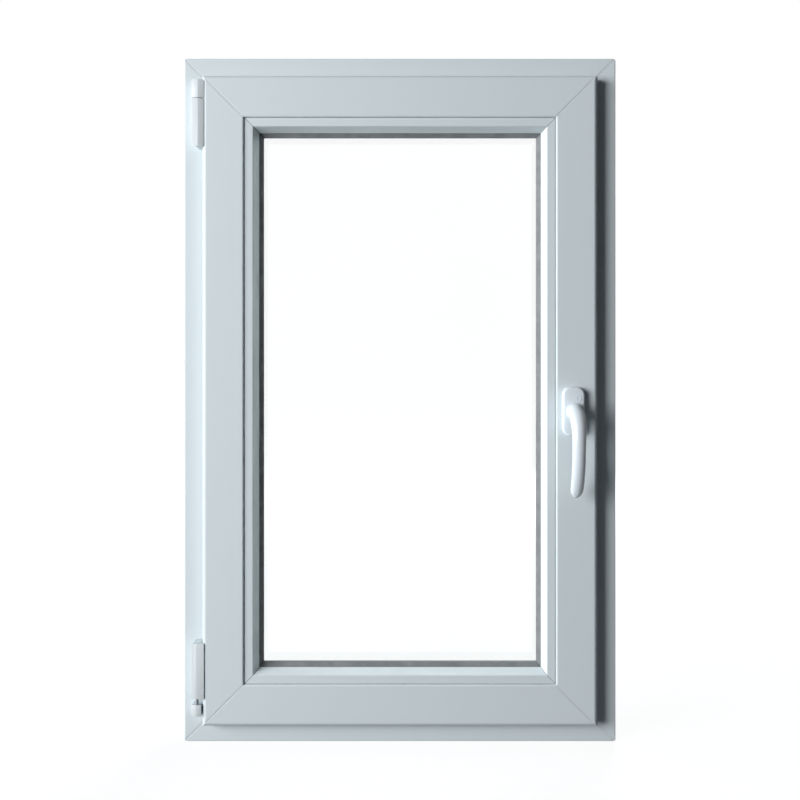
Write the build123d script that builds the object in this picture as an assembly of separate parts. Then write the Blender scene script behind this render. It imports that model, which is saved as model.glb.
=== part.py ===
from build123d import *
import os

# A white casement window of welded plastic profile, closed and seen from the room.
# X runs to the right, Z runs up, and the room is on the -Y side.
# The origin is on the underside of the frame, in the middle of its width and depth.
# Every profile section is drawn as (depth, inward): depth along Y, and inward from the
# window's outer edge, so one section serves all four sides.

# Whole window
WIDTH = 600
HEIGHT = 950

# Depths along Y, from the room side to the outside
SASH_ROOM = -55
BEAD_ROOM = -52.5
LAP_BACK = -39
FRAME_ROOM = -35
SASH_OUTSIDE = 15
LIP_INNER = 18
FRAME_OUTSIDE = 35

# Distances inward from the window's outer edge
SASH_EDGE = 28.5
UPSTAND = 36.5
SASH_BODY = 48.5
FRAME_LIP = 58
GLAZING_REBATE = 86
GLASS_EDGE = 91
BEAD_SHOULDER = 98
BEAD_EDGE = 104.5
SASH_LIP = 99.5
OUTER_CLEAR_EDGE = 104
CLEAR_EDGE = 110.5

# Clips and grooves of the profiles
BEAD_CLIP_FRONT = -47
BEAD_CLIP_BACK = -43
BEAD_CLIP_DEEP = 3
BEAD_BACK = -36
SEAL_SLOT_LOW = 50
SEAL_SLOT_HIGH = 54
SEAL_SLOT_DEEP = 3
ANCHOR_NEAR = 16
ANCHOR_FAR = 24
ANCHOR_DEEP = 2.5

# Rounded edges of the profiles
SASH_ROUND = 6
STEP_ROUND = 2.8
SMALL_ROUND = 1.5

# Welded corners: the bead of the weld is planed off, which leaves a shallow groove
WELD_WIDTH = 3.2
WELD_DEEP = 0.35
CORNER_CUT = 2.5

# Chambers inside the profiles, each as depth from and to, then inward from and to
FRAME_CHAMBERS = (
    (-32.2, -25.5, 5.3, 33.5),
    (-22, 2, 5.3, 27.5),
    (3.2, 14, 5.3, 27.3),
    (16.5, 32.2, 5.3, 26),
    (24, 32.2, 28, 51.5),
)
SASH_CHAMBERS = (
    (-52.2, -41.8, 31.5, 49),
    (-52.2, -41.8, 50.2, 80),
    (-39.8, -14, 54.4, 83.2),
    (-12.8, -1.2, 51.3, 83.2),
    (0, 12.2, 51.3, 83.2),
    (-2.2, 12.2, 84.8, 92),
)

# Drainage of the sill: slots in the rebate, and lower ones in front under the caps
DRAIN_X = (-150, 150)
DRAIN_LONG = 30
DRAIN_HIGH = 5
DRAIN_Z = 14
REBATE_DRAIN_Y = 9
REBATE_DRAIN_AWAY = 45
CAP_WIDTH = 44
CAP_HEIGHT = 12
CAP_THICK = 5
CAP_WALL = 1.5
CAP_Z = 18

# Glass unit: two panes with a spacer bar between them, on packers
PANE = 4
CAVITY = 16
GLASS_ROOM = -32
GLASS_OUTSIDE = GLASS_ROOM + 2 * PANE + CAVITY
SPACER_BAR = 6.5
SEAL_DEPTH = 4
BLOCK_LONG = 80
BLOCKS_ACROSS = (-120, 120)
BLOCKS_UP = (-280, 280)

# Handle: a fixed base with two screws, a cover over them and the lever
BACKSET = 15
HANDLE_Z = 461
HANDLE_X = WIDTH / 2 - SASH_BODY - BACKSET
ROSETTE_WIDTH = 30
ROSETTE_HEIGHT = 67
ROSETTE_THICK = 10
ROSETTE_CORNER = 11
ROSETTE_BEVEL = 2.6
COVER_WALL = 2
COVER_FRONT = 3.5
BASE_THICK = 3
COLLAR = 10.5
COVER_GAP = 0.3
SCREW_SPACING = 43
SCREW_HEAD = 4.1
SCREW_HEAD_THICK = 2.6
SCREW_SHANK = 2.5
SPIGOT = 7.7
SPINDLE = 7
SPINDLE_GRIP = 8
SPINDLE_END = -22
SPINDLE_BORE = 6.5
TURNING_GAP = 0.3
# The lever's centreline, as points out from the sash and down from the axis
LEVER_LINE = ((ROSETTE_THICK + TURNING_GAP, 0), (26, 0.5), (41, 9), (48, 30), (46, 62), (39, 88), (25, 114))
# How far along the centreline, and how wide and deep the lever is there
LEVER_SIZES = (
    (0, 24, 24),
    (0.1, 23.4, 23),
    (0.24, 21, 19),
    (0.4, 18.6, 16),
    (0.6, 18, 15),
    (0.8, 18, 14),
    (0.96, 16.8, 12.4),
    (0.975, 15.2, 11.2),
    (0.992, 10.8, 7.8),
    (1, 5.2, 3.6),
)
# The stretches of the lever and the number of rings in each: more where it bends
LEVER_STRETCHES = ((0, 0.1, 1), (0.1, 0.44, 11), (0.44, 0.96, 7))

# Hinges
HINGE_X = -277.5
HINGE_Y = -55
HINGE_PIN = 3
PIN_SEAT = 8
HINGE_LEFT = -285.2
HINGE_RIGHT = -268.5
HINGE_NECK = -272.3
HINGE_RIDGE = -277.2
HINGE_FRONT = -62.5
HINGE_LEFT_FALL = 5.5
HINGE_RIGHT_FALL = 2.2
WRAP_FRONT = -56.4
WRAP_BACK = -53
HINGE_ROUNDS = (1.6, 2.4, 1.2)
LOW_END_ROUND = 7
HIGH_END_ROUND = 4
TOP_HINGE_LOW = 824
TOP_HINGE_JOINT = 890
TOP_HINGE_HIGH = 916
HINGE_PLAY = 0.5
BAND_BACK = -37
ARM_FRONT = -48
ARM_BACK = -41
BLOCK_FRONT = -59.5
BLOCK_LEFT_FALL = 5
BLOCK_RIGHT_FALL = 1
BOTTOM_BLOCK_LOW = 43
BOTTOM_BLOCK_HIGH = 59
BOTTOM_COVER_LOW = 67
BOTTOM_COVER_HIGH = 143
BOTTOM_PIN_LOW = 48
BOTTOM_PIN_HIGH = 90
COVER_RIDGE = -278.4
COVER_FRONT_Y = -61.8
COVER_LEFT_FALL = 5.8
COVER_RIGHT_FALL = 0.7
COVER_END_ROUND = 2


def corner(face, depth, inward):
    """The vertex of a section that lies nearest to a point of it."""
    return face.vertices().sort_by_distance((0, depth, inward))[0]


def section(points, rounds=(), chambers=()):
    """A closed section; rounds are (depth, inward, radius), chambers are its hollows."""
    face = Plane.YZ * make_face(Polyline(*points, close=True))
    for depth, inward, radius in rounds:
        face = fillet(corner(face, depth, inward), radius)
    for front, back, low, high in chambers:
        hollow = Pos((front + back) / 2, (low + high) / 2) * Rectangle(back - front, high - low)
        face -= Plane.YZ * hollow
    return face


def mitre_outline(length):
    """The outline of a bottom member seen from the room: both ends at 45 degrees."""
    half = length / 2
    reach = CLEAR_EDGE + 10
    cut = CORNER_CUT
    points = [
        (-half + cut, 0),
        (half - cut, 0),
        (half - cut / 2, cut / 2),
        (half - reach, reach),
        (-half + reach, reach),
        (-half + cut / 2, cut / 2),
    ]
    return make_face(Polyline(*points, close=True))


def member(face, length):
    """A section run along the bottom edge, with both ends mitred."""
    bar = extrude(face, amount=length / 2, both=True)
    mitres = extrude(Plane.XZ * mitre_outline(length), amount=100, both=True)
    return (bar & mitres).solids()[0]


def planed_welds(piece, length, faces):
    """A bottom member with the grooves of its planed welds, on faces given by their depths."""
    reach = CLEAR_EDGE * 2
    for depth in faces:
        for end in (-1, 1):
            knife = Box(2 * reach, 2 * WELD_DEEP, WELD_WIDTH)
            piece -= Pos(end * length / 2, depth, 0) * Rot(0, end * 45, 0) * knife
    return piece


def place(piece, side):
    """Turn a bottom member round to its own side of the window."""
    turn, x, z = {
        "bottom": (0, 0, 0),
        "left": (90, -WIDTH / 2, HEIGHT / 2),
        "top": (180, 0, HEIGHT),
        "right": (-90, WIDTH / 2, HEIGHT / 2),
    }[side]
    return Pos(x, 0, z) * Rot(0, turn, 0) * piece


def side_length(side):
    """The outer length of the members on a side."""
    return WIDTH if side in ("bottom", "top") else HEIGHT


def side_member(face, side, welded_faces=()):
    """A mitred member of the section, on one side of the window."""
    length = side_length(side)
    return place(planed_welds(member(face, length), length, welded_faces), side)


def ring(face):
    """The section run all the way round, as one closed ring."""
    ringed = side_member(face, "bottom")
    for side in ("left", "top", "right"):
        ringed += side_member(face, side)
    return ringed


def frame_section():
    """The outer frame: a face to the room, a rebate, an outer lip and grooves for anchors."""
    points = [
        (FRAME_ROOM, 0),
        (FRAME_ROOM, UPSTAND),
        (FRAME_ROOM + 10, UPSTAND),
        (FRAME_ROOM + 14, UPSTAND - 4),
        (LIP_INNER, UPSTAND - 6),
        (LIP_INNER, SEAL_SLOT_LOW),
        (LIP_INNER + SEAL_SLOT_DEEP, SEAL_SLOT_LOW),
        (LIP_INNER + SEAL_SLOT_DEEP, SEAL_SLOT_HIGH),
        (LIP_INNER, SEAL_SLOT_HIGH),
        (LIP_INNER, FRAME_LIP),
        (FRAME_OUTSIDE, FRAME_LIP - 3),
        (FRAME_OUTSIDE, 0),
        (ANCHOR_FAR, 0),
        (ANCHOR_FAR, ANCHOR_DEEP),
        (ANCHOR_NEAR, ANCHOR_DEEP),
        (ANCHOR_NEAR, 0),
        (-ANCHOR_NEAR, 0),
        (-ANCHOR_NEAR, ANCHOR_DEEP),
        (-ANCHOR_FAR, ANCHOR_DEEP),
        (-ANCHOR_FAR, 0),
    ]
    rounds = [
        (FRAME_ROOM, 0, SMALL_ROUND),
        (FRAME_OUTSIDE, 0, SMALL_ROUND),
        (FRAME_OUTSIDE, FRAME_LIP - 3, 2.5),
        (LIP_INNER, FRAME_LIP, 1),
    ]
    return section(points, rounds, FRAME_CHAMBERS)


def sash_section():
    """The sash: it laps over the frame, carries the glass and stands proud of the frame."""
    points = [
        (LAP_BACK, SASH_EDGE),
        (SASH_ROOM, SASH_EDGE),
        (SASH_ROOM, GLAZING_REBATE),
        (BEAD_CLIP_FRONT, GLAZING_REBATE),
        (BEAD_CLIP_FRONT, GLAZING_REBATE - BEAD_CLIP_DEEP),
        (BEAD_CLIP_BACK, GLAZING_REBATE - BEAD_CLIP_DEEP),
        (BEAD_CLIP_BACK, GLAZING_REBATE),
        (-5, GLAZING_REBATE),
        (-5, SASH_LIP),
        (4, SASH_LIP - 0.5),
        (SASH_OUTSIDE, SASH_LIP - 4.5),
        (SASH_OUTSIDE, SASH_BODY),
        (-14, SASH_BODY),
        (-14, SASH_BODY + 3),
        (-30, SASH_BODY + 3),
        (-30, SASH_BODY),
        (LAP_BACK, SASH_BODY),
    ]
    rounds = [
        (LAP_BACK, SASH_EDGE, 1),
        (SASH_ROOM, SASH_EDGE, SASH_ROUND),
        (SASH_ROOM, GLAZING_REBATE, STEP_ROUND),
        (SASH_OUTSIDE, SASH_LIP - 4.5, 2),
        (SASH_OUTSIDE, SASH_BODY, 1),
    ]
    return section(points, rounds, SASH_CHAMBERS)


def bead_section():
    """The glazing bead: a flat face, a slope down to the glass and a foot clipped in the sash."""
    points = [
        (BEAD_ROOM, GLAZING_REBATE),
        (BEAD_ROOM + 0.4, BEAD_SHOULDER),
        (LAP_BACK, BEAD_EDGE),
        (BEAD_BACK, BEAD_EDGE),
        (BEAD_BACK, GLAZING_REBATE),
        (BEAD_CLIP_BACK, GLAZING_REBATE),
        (BEAD_CLIP_BACK, GLAZING_REBATE - BEAD_CLIP_DEEP),
        (BEAD_CLIP_FRONT, GLAZING_REBATE - BEAD_CLIP_DEEP),
        (BEAD_CLIP_FRONT, GLAZING_REBATE),
    ]
    rounds = [
        (BEAD_ROOM, GLAZING_REBATE, 2),
        (BEAD_ROOM + 0.4, BEAD_SHOULDER, 1.5),
    ]
    hollow = [
        (BEAD_ROOM + 2.5, GLAZING_REBATE + 2.5),
        (BEAD_ROOM + 2.5, BEAD_SHOULDER - 2),
        (BEAD_BACK - 2, BEAD_EDGE - 3),
        (BEAD_BACK - 2, GLAZING_REBATE + 2.5),
    ]
    return section(points, rounds) - section(hollow)


def bead_gasket_section():
    """The grey seal between the bead and the inner pane."""
    points = [
        (BEAD_BACK, BEAD_EDGE - 8.5),
        (BEAD_BACK, BEAD_EDGE),
        (BEAD_BACK - 2, BEAD_EDGE),
        (GLASS_ROOM - 1, CLEAR_EDGE),
        (GLASS_ROOM, CLEAR_EDGE),
        (GLASS_ROOM, BEAD_EDGE - 8.5),
    ]
    return section(points)


def outer_glazing_gasket_section():
    """The grey seal between the outer pane and the lip of the sash."""
    points = [
        (GLASS_OUTSIDE, SASH_LIP - 8),
        (GLASS_OUTSIDE, OUTER_CLEAR_EDGE),
        (GLASS_OUTSIDE + 1, OUTER_CLEAR_EDGE),
        (-5, SASH_LIP),
        (-5, SASH_LIP - 8),
    ]
    return section(points)


def frame_gasket_section():
    """The outer rebate seal: its foot sits in the frame lip, its pad meets the sash."""
    points = [
        (SASH_OUTSIDE, SEAL_SLOT_LOW - 0.5),
        (SASH_OUTSIDE, SEAL_SLOT_HIGH + 2),
        (LIP_INNER, SEAL_SLOT_HIGH + 1),
        (LIP_INNER, SEAL_SLOT_HIGH),
        (LIP_INNER + SEAL_SLOT_DEEP, SEAL_SLOT_HIGH),
        (LIP_INNER + SEAL_SLOT_DEEP, SEAL_SLOT_LOW),
        (LIP_INNER, SEAL_SLOT_LOW),
        (LIP_INNER, SEAL_SLOT_LOW - 0.5),
    ]
    return section(points)


def sash_gasket_section():
    """The inner rebate seal, between the lap of the sash and the face of the frame."""
    return section([
        (LAP_BACK, SASH_EDGE + 1.5),
        (LAP_BACK, UPSTAND - 1),
        (FRAME_ROOM, UPSTAND - 2),
        (FRAME_ROOM, SASH_EDGE + 2.5),
    ])


def upright_box(x_range, y_range, z_range):
    """A box given by its three ranges."""
    size = [high - low for low, high in (x_range, y_range, z_range)]
    middle = [(high + low) / 2 for low, high in (x_range, y_range, z_range)]
    return Pos(*middle) * Box(*size)


def rod(x, z, radius, y_range):
    """A round rod along Y."""
    low, high = y_range
    return Pos(x, (low + high) / 2, z) * Rot(90, 0, 0) * Cylinder(radius, high - low)


def post(radius, z_range):
    """A round rod along Z, on the axis of the hinges."""
    low, high = z_range
    return Pos(HINGE_X, HINGE_Y, (low + high) / 2) * Cylinder(radius, high - low)


def frame_sill():
    """The bottom of the frame, slotted so that water in the rebate runs out in front."""
    sill = side_member(frame_section(), "bottom", (FRAME_ROOM, FRAME_OUTSIDE))
    for x in DRAIN_X:
        slot = (x - DRAIN_LONG / 2, x + DRAIN_LONG / 2)
        sill -= upright_box(slot, (FRAME_OUTSIDE - 4, FRAME_OUTSIDE + 1), (DRAIN_Z, DRAIN_Z + DRAIN_HIGH))
        inner = (slot[0] + REBATE_DRAIN_AWAY, slot[1] + REBATE_DRAIN_AWAY)
        across = (REBATE_DRAIN_Y - DRAIN_HIGH / 2, REBATE_DRAIN_Y + DRAIN_HIGH / 2)
        sill -= upright_box(inner, across, (UPSTAND - 14, UPSTAND))
    return sill


def frame_side(side):
    """The head or a jamb of the frame."""
    return side_member(frame_section(), side, (FRAME_ROOM, FRAME_OUTSIDE))


def sash_side(side):
    """A rail or a stile of the sash."""
    return side_member(sash_section(), side, (SASH_ROOM, SASH_OUTSIDE))


def screw_heights():
    """Where the two rosette screws are, above and below the spindle."""
    return (HANDLE_Z - SCREW_SPACING / 2, HANDLE_Z + SCREW_SPACING / 2)


def lock_stile():
    """The stile under the handle, bored for the spindle and the two screws."""
    bore = (SASH_ROOM - 1, SPINDLE_END + 2)
    stile = sash_side("right") - rod(HANDLE_X, HANDLE_Z, SPINDLE_BORE, bore)
    for z in screw_heights():
        stile -= rod(HANDLE_X, z, SCREW_SHANK, bore)
    return stile


def pane(y_low):
    """One sheet of float glass."""
    half = WIDTH / 2 - GLASS_EDGE
    return upright_box((-half, half), (y_low, y_low + PANE), (GLASS_EDGE, HEIGHT - GLASS_EDGE))


def unit_edge_section(low, high):
    """A bar between the panes, between two distances inward."""
    front = GLASS_ROOM + PANE
    back = front + CAVITY
    return section([(front, low), (front, high), (back, high), (back, low)])


def spacer_section():
    """The bar that keeps the panes apart, drawn by its outer shape."""
    return unit_edge_section(GLASS_EDGE + SEAL_DEPTH, GLASS_EDGE + SEAL_DEPTH + SPACER_BAR)


def edge_seal_section():
    """The dark sealant behind the spacer, out to the edge of the panes."""
    return unit_edge_section(GLASS_EDGE, GLASS_EDGE + SEAL_DEPTH)


def glazing_blocks():
    """Packers between the edge of the glass unit and the sash, two to a side."""
    blocks = Part()
    for offsets, sides in ((BLOCKS_ACROSS, ("bottom", "top")), (BLOCKS_UP, ("left", "right"))):
        for along in offsets:
            reach = (along - BLOCK_LONG / 2, along + BLOCK_LONG / 2)
            block = upright_box(reach, (GLASS_ROOM, GLASS_OUTSIDE), (GLAZING_REBATE, GLASS_EDGE))
            blocks += [place(block, side) for side in sides]
    return blocks


def round_corners(face, corners):
    """The face with some of its corners rounded; each is (x, y, radius) in the face's plane."""
    for x, y, radius in corners:
        face = fillet(face.vertices().sort_by_distance((x, y, 0))[0], radius)
    return face


def hinge_outline(ridge, front, falls, right, back):
    """A hinge piece seen from above: two facets meet in a ridge, and it wraps round the sash's edge."""
    left_corner = (HINGE_LEFT, front + falls[0])
    right_corner = (right, front + falls[1])
    wrap = [(right, WRAP_FRONT), (HINGE_NECK, WRAP_BACK)] if right > HINGE_NECK else []
    points = [(HINGE_LEFT, back), left_corner, (ridge, front), right_corner, *wrap, (HINGE_NECK, back)]
    corners = zip((left_corner, (ridge, front), right_corner), HINGE_ROUNDS)
    return round_corners(make_face(Polyline(*points, close=True)), [(*at, radius) for at, radius in corners])


def upright_prism(outline, z_range):
    """An outline seen from above, made solid between two heights."""
    low, high = z_range
    return Pos(0, 0, low) * extrude(outline, amount=high - low)


def round_ends(piece, z_range, corners):
    """A hinge piece with some of its corners rounded as seen from the room."""
    low, high = z_range
    points = [(HINGE_LEFT, low), (HINGE_RIGHT, low), (HINGE_RIGHT, high), (HINGE_LEFT, high)]
    outline = round_corners(make_face(Polyline(*points, close=True)), corners)
    return piece & extrude(Plane.XZ * outline, amount=-FRAME_ROOM * 2, both=True)


def sash_arm(z_range):
    """The arm that joins a hinge piece to the side of the sash."""
    return upright_box((HINGE_NECK - 1, -WIDTH / 2 + SASH_EDGE), (ARM_FRONT, ARM_BACK), z_range)


def top_hinge_bearing():
    """The lower, longer piece of the top hinge, on the face of the frame."""
    z_range = (TOP_HINGE_LOW, TOP_HINGE_JOINT - HINGE_PLAY)
    falls = (HINGE_LEFT_FALL, HINGE_RIGHT_FALL)
    outline = hinge_outline(HINGE_RIDGE, HINGE_FRONT, falls, HINGE_RIGHT, FRAME_ROOM)
    bearing = upright_prism(outline, z_range)
    bearing = round_ends(bearing, z_range, [(HINGE_LEFT, TOP_HINGE_LOW, LOW_END_ROUND)])
    return bearing - post(HINGE_PIN, (TOP_HINGE_LOW + PIN_SEAT, TOP_HINGE_JOINT))


def top_hinge_band():
    """The upper piece of the top hinge, on the arm that comes out of the sash."""
    z_range = (TOP_HINGE_JOINT + HINGE_PLAY, TOP_HINGE_HIGH)
    falls = (HINGE_LEFT_FALL, HINGE_RIGHT_FALL)
    outline = hinge_outline(HINGE_RIDGE, HINGE_FRONT, falls, HINGE_RIGHT, BAND_BACK)
    band = upright_prism(outline, z_range)
    band = round_ends(band, z_range, [(HINGE_RIGHT, TOP_HINGE_HIGH, HIGH_END_ROUND)])
    return band + sash_arm(z_range) - post(HINGE_PIN, (TOP_HINGE_JOINT, TOP_HINGE_HIGH - PIN_SEAT / 2))


def top_hinge_pin():
    """The pin that joins the two pieces of the top hinge."""
    return post(HINGE_PIN, (TOP_HINGE_LOW + PIN_SEAT, TOP_HINGE_HIGH - PIN_SEAT / 2))


def bottom_hinge_bearing():
    """The small block at the foot of the bottom hinge, on the face of the frame."""
    falls = (BLOCK_LEFT_FALL, BLOCK_RIGHT_FALL)
    outline = hinge_outline(HINGE_RIDGE, BLOCK_FRONT, falls, HINGE_NECK, FRAME_ROOM)
    block = upright_prism(outline, (BOTTOM_BLOCK_LOW, BOTTOM_BLOCK_HIGH))
    return block - post(HINGE_PIN, (BOTTOM_PIN_LOW, BOTTOM_BLOCK_HIGH))


def bottom_hinge_band():
    """The tall cover on the sash's side of the bottom hinge."""
    z_range = (BOTTOM_COVER_LOW, BOTTOM_COVER_HIGH)
    falls = (COVER_LEFT_FALL, COVER_RIGHT_FALL)
    outline = hinge_outline(COVER_RIDGE, COVER_FRONT_Y, falls, HINGE_RIGHT, BAND_BACK)
    cover = upright_prism(outline, z_range)
    ends = [(x, BOTTOM_COVER_HIGH, COVER_END_ROUND) for x in (HINGE_LEFT, HINGE_RIGHT)]
    cover = round_ends(cover, z_range, ends)
    return cover + sash_arm(z_range) - post(HINGE_PIN, (BOTTOM_COVER_LOW, BOTTOM_PIN_HIGH))


def bottom_hinge_pin():
    """The pin that the bottom hinge turns on."""
    return post(HINGE_PIN, (BOTTOM_PIN_LOW, BOTTOM_PIN_HIGH))


def upright_plate(width, height, round_corner, out_range):
    """A plate round the handle's axis, with rounded corners, between two distances out."""
    near, far = out_range
    outline = Plane.XZ * RectangleRounded(width, height, round_corner)
    return Pos(HANDLE_X, SASH_ROOM - near, HANDLE_Z) * extrude(outline, amount=far - near)


def handle_base():
    """The base that is screwed to the sash, with the collar that the lever turns in."""
    inset = 2 * (COVER_WALL + COVER_GAP)
    plate = upright_plate(
        ROSETTE_WIDTH - inset,
        ROSETTE_HEIGHT - inset,
        ROSETTE_CORNER - inset / 2,
        (0, BASE_THICK),
    )
    plate += rod(HANDLE_X, HANDLE_Z, COLLAR, (SASH_ROOM - ROSETTE_THICK + COVER_GAP, SASH_ROOM))
    plate -= rod(HANDLE_X, HANDLE_Z, SPIGOT + TURNING_GAP, (SASH_ROOM - ROSETTE_THICK, SASH_ROOM + 1))
    for z in screw_heights():
        plate -= rod(HANDLE_X, z, SCREW_SHANK, (SASH_ROOM - BASE_THICK - 1, SASH_ROOM + 1))
    return plate


def rosette_screws():
    """The two screws of the base, hidden under the cover."""
    top = SASH_ROOM - BASE_THICK
    screws = Part()
    for z in screw_heights():
        head = rod(HANDLE_X, z, SCREW_HEAD, (top - SCREW_HEAD_THICK, top))
        shank = rod(HANDLE_X, z, SCREW_SHANK, (top, SPINDLE_END))
        screws += head + shank
    return screws


def handle_rosette():
    """The cover that snaps over the base: a bevelled shell with a hole for the collar."""
    cover = upright_plate(ROSETTE_WIDTH, ROSETTE_HEIGHT, ROSETTE_CORNER, (0, ROSETTE_THICK))
    cover = chamfer(cover.faces().sort_by(Axis.Y)[0].edges(), ROSETTE_BEVEL)
    cover -= upright_plate(
        ROSETTE_WIDTH - 2 * COVER_WALL,
        ROSETTE_HEIGHT - 2 * COVER_WALL,
        ROSETTE_CORNER - COVER_WALL,
        (-1, ROSETTE_THICK - COVER_FRONT),
    )
    return cover - rod(HANDLE_X, HANDLE_Z, COLLAR + COVER_GAP, (SASH_ROOM - ROSETTE_THICK - 1, SASH_ROOM))


def lever_size(along):
    """How wide and deep the lever is at a place along its centreline."""
    for (start, *sizes), (end, *next_sizes) in zip(LEVER_SIZES, LEVER_SIZES[1:]):
        if along <= end:
            share = (along - start) / (end - start)
            return [size + share * (after - size) for size, after in zip(sizes, next_sizes)]


def lever_places():
    """Where along the centreline the lever's rings lie: evenly in each stretch, then at the tip."""
    places = [LEVER_STRETCHES[0][0]]
    for start, end, count in LEVER_STRETCHES:
        places += [start + (end - start) * (step + 1) / count for step in range(count)]
    return places + [along for along, wide, deep in LEVER_SIZES if along > LEVER_STRETCHES[-1][1]]


def handle_lever():
    """The lever: out of the rosette, round the elbow and down a grip that bows back to the sash."""
    line = Spline(
        *[(HANDLE_X, SASH_ROOM - out, HANDLE_Z - down) for out, down in LEVER_LINE],
        tangents=((0, -1, 0), (0, 0.6, -1)),
    )
    rings = []
    for along in lever_places():
        wide, deep = lever_size(along)
        plane = Plane(origin=line @ along, x_dir=(1, 0, 0), z_dir=line % along)
        rings.append(plane * Ellipse(wide / 2, deep / 2))
    lever = loft(rings, ruled=True)
    neck = SASH_ROOM - LEVER_LINE[0][0]
    lever += rod(HANDLE_X, HANDLE_Z, SPIGOT, (neck, SASH_ROOM - 1))
    return lever - spindle_bar((neck - SPINDLE_GRIP, SASH_ROOM))


def spindle_bar(y_range):
    """A length of the square spindle."""
    half = SPINDLE / 2
    return upright_box((HANDLE_X - half, HANDLE_X + half), y_range, (HANDLE_Z - half, HANDLE_Z + half))


def handle_spindle():
    """The square bar that the handle turns inside the sash."""
    return spindle_bar((SASH_ROOM - LEVER_LINE[0][0] - SPINDLE_GRIP, SPINDLE_END))


def drain_cap(x):
    """A hooded cap over a drain slot, open underneath."""
    reach = (x - CAP_WIDTH / 2, x + CAP_WIDTH / 2)
    low, high = CAP_Z - CAP_HEIGHT / 2, CAP_Z + CAP_HEIGHT / 2
    hood = upright_box(reach, (FRAME_OUTSIDE, FRAME_OUTSIDE + CAP_THICK), (low, high))
    top_edge = hood.edges().filter_by(Axis.X).sort_by(Axis.Y)[-2:].sort_by(Axis.Z)[-1]
    hood = chamfer(top_edge, CAP_THICK - 2)
    inside = (reach[0] + CAP_WALL, reach[1] - CAP_WALL)
    return hood - upright_box(inside, (FRAME_OUTSIDE, FRAME_OUTSIDE + CAP_THICK - CAP_WALL), (low, CAP_Z + 2))


def build():
    """Every piece of the window, by the name of its node."""
    pieces = {"frame_sill": frame_sill()}
    pieces["frame_hinge_jamb"] = frame_side("left")
    pieces["frame_head"] = frame_side("top")
    pieces["frame_lock_jamb"] = frame_side("right")
    pieces["sash_bottom_rail"] = sash_side("bottom")
    pieces["sash_hinge_stile"] = sash_side("left")
    pieces["sash_top_rail"] = sash_side("top")
    pieces["sash_lock_stile"] = lock_stile()
    bead_sides = {"bottom": "bottom", "hinge_side": "left", "top": "top", "lock_side": "right"}
    for name, side in bead_sides.items():
        pieces[f"bead_{name}"] = side_member(bead_section(), side)
    pieces["inner_pane"] = pane(GLASS_ROOM)
    pieces["outer_pane"] = pane(GLASS_ROOM + PANE + CAVITY)
    pieces["glass_spacer"] = ring(spacer_section())
    pieces["glass_edge_seal"] = ring(edge_seal_section())
    pieces["glazing_blocks"] = glazing_blocks()
    pieces["bead_gasket"] = ring(bead_gasket_section())
    pieces["outer_glazing_gasket"] = ring(outer_glazing_gasket_section())
    pieces["frame_gasket"] = ring(frame_gasket_section())
    pieces["sash_gasket"] = ring(sash_gasket_section())
    pieces["top_hinge_bearing"] = top_hinge_bearing()
    pieces["top_hinge_band"] = top_hinge_band()
    pieces["top_hinge_pin"] = top_hinge_pin()
    pieces["bottom_hinge_bearing"] = bottom_hinge_bearing()
    pieces["bottom_hinge_band"] = bottom_hinge_band()
    pieces["bottom_hinge_pin"] = bottom_hinge_pin()
    pieces["handle_base"] = handle_base()
    pieces["rosette_screws"] = rosette_screws()
    pieces["handle_rosette"] = handle_rosette()
    pieces["handle_lever"] = handle_lever()
    pieces["handle_spindle"] = handle_spindle()
    for name, x in zip(("drain_cap_left", "drain_cap_right"), DRAIN_X):
        pieces[name] = drain_cap(x)
    return pieces


os.makedirs("parts", exist_ok=True)
for name, piece in build().items():
    export_step(piece, f"parts/{name}.step")
    print(f"{name}: {piece.volume / 1000:.1f} cm3")
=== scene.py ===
# %% [markdown]
# # A white plastic window, finished in Blender
#
# This lesson dresses a casement window that was built as solids beforehand. The solids
# give every piece its real size and place.
# What is left for Blender is how the window looks: the satin skin of the profiles, the
# planed welds at the corners, the seals, the glass, the hinge covers and the handle.
# All lengths are in metres. X runs to the right, Z up, and the room is on the -Y side.

from math import radians

import bmesh
import bpy
from mathutils import Matrix, Vector
from mathutils.geometry import interpolate_bezier


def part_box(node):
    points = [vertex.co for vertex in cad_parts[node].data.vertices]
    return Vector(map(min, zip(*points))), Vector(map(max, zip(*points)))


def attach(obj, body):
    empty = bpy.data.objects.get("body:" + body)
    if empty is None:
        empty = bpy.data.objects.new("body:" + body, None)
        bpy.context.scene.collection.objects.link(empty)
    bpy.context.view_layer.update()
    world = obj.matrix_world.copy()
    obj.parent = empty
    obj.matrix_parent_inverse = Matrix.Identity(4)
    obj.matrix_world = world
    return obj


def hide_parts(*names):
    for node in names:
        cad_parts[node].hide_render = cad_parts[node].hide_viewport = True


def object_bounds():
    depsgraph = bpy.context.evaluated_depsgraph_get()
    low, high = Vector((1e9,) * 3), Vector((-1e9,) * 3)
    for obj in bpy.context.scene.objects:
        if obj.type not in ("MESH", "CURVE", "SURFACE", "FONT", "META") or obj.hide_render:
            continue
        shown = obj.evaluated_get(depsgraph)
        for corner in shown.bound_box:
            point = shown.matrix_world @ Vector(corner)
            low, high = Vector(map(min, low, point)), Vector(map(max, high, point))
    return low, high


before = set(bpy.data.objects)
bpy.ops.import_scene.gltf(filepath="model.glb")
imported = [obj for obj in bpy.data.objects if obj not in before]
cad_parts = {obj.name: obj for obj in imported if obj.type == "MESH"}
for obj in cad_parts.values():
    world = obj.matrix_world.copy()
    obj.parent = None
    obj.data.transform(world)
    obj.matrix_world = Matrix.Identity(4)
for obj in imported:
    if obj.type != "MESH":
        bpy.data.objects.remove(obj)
cad_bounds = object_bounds()
print("nodes:", len(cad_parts), "bounds:", cad_bounds)

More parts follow.
